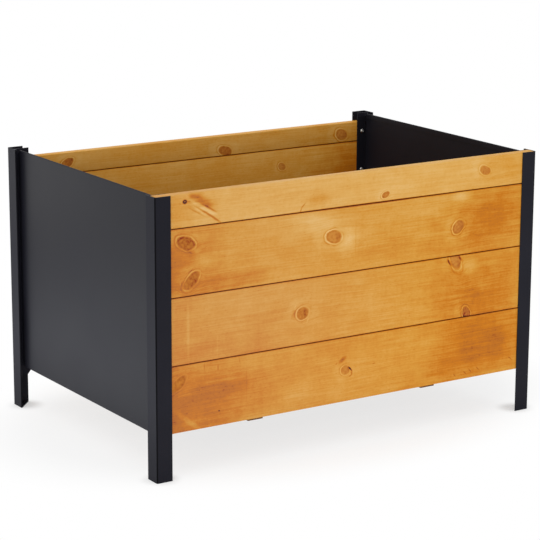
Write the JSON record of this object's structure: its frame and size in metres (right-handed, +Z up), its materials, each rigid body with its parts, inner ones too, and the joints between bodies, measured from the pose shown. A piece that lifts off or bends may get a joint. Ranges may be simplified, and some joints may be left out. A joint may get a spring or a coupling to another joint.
{
  "type": "raised planter",
  "caption": "Rectangular raised planter: black folded steel corner posts and end panels, walls of stained tongued and grooved boards, and a slatted floor held above the ground.",
  "frame": {"origin": "on the ground, under the middle of the planter", "axes": "+X along the board walls to the right, +Y from the front board wall to the rear one, +Z up"},
  "size_m": [0.8, 0.54, 0.49],
  "materials": {
    "powder_coat": "matt black powder coat with a fine texture",
    "stained_wood": "planed softwood with a honey brown stain, grain and knots showing",
    "floor_wood": "planed softwood, oiled brown",
    "screw_steel": "zinc plated"
  },
  "bodies": {
    "root": {"post_front_left": "powder_coat", "foot_plate_front_left": "powder_coat", "post_front_right": "powder_coat", "foot_plate_front_right": "powder_coat", "post_rear_left": "powder_coat", "foot_plate_rear_left": "powder_coat", "post_rear_right": "powder_coat", "foot_plate_rear_right": "powder_coat", "end_panel_left": "powder_coat", "end_panel_right": "powder_coat", "front_board_1": "stained_wood", "front_board_2": "stained_wood", "front_board_3": "stained_wood", "front_board_4": "stained_wood", "rear_board_1": "stained_wood", "rear_board_2": "stained_wood", "rear_board_3": "stained_wood", "rear_board_4": "stained_wood", "floor_slat_1": "floor_wood", "floor_slat_2": "floor_wood", "floor_slat_3": "floor_wood", "floor_slat_4": "floor_wood", "floor_slat_5": "floor_wood", "floor_batten_left": "floor_wood", "floor_batten_right": "floor_wood", "wall_screw_front_left_1": "screw_steel", "wall_screw_front_left_2": "screw_steel", "wall_screw_front_left_3": "screw_steel", "wall_screw_front_left_4": "screw_steel", "wall_screw_front_right_1": "screw_steel", "wall_screw_front_right_2": "screw_steel", "wall_screw_front_right_3": "screw_steel", "wall_screw_front_right_4": "screw_steel", "wall_screw_rear_left_1": "screw_steel", "wall_screw_rear_left_2": "screw_steel", "wall_screw_rear_left_3": "screw_steel", "wall_screw_rear_left_4": "screw_steel", "wall_screw_rear_right_1": "screw_steel", "wall_screw_rear_right_2": "screw_steel", "wall_screw_rear_right_3": "screw_steel", "wall_screw_rear_right_4": "screw_steel", "floor_screw_left_1": "screw_steel", "floor_screw_left_2": "screw_steel", "floor_screw_left_3": "screw_steel", "floor_screw_left_4": "screw_steel", "floor_screw_left_5": "screw_steel", "floor_screw_right_1": "screw_steel", "floor_screw_right_2": "screw_steel", "floor_screw_right_3": "screw_steel", "floor_screw_right_4": "screw_steel", "floor_screw_right_5": "screw_steel"}
  },
  "joints": []
}
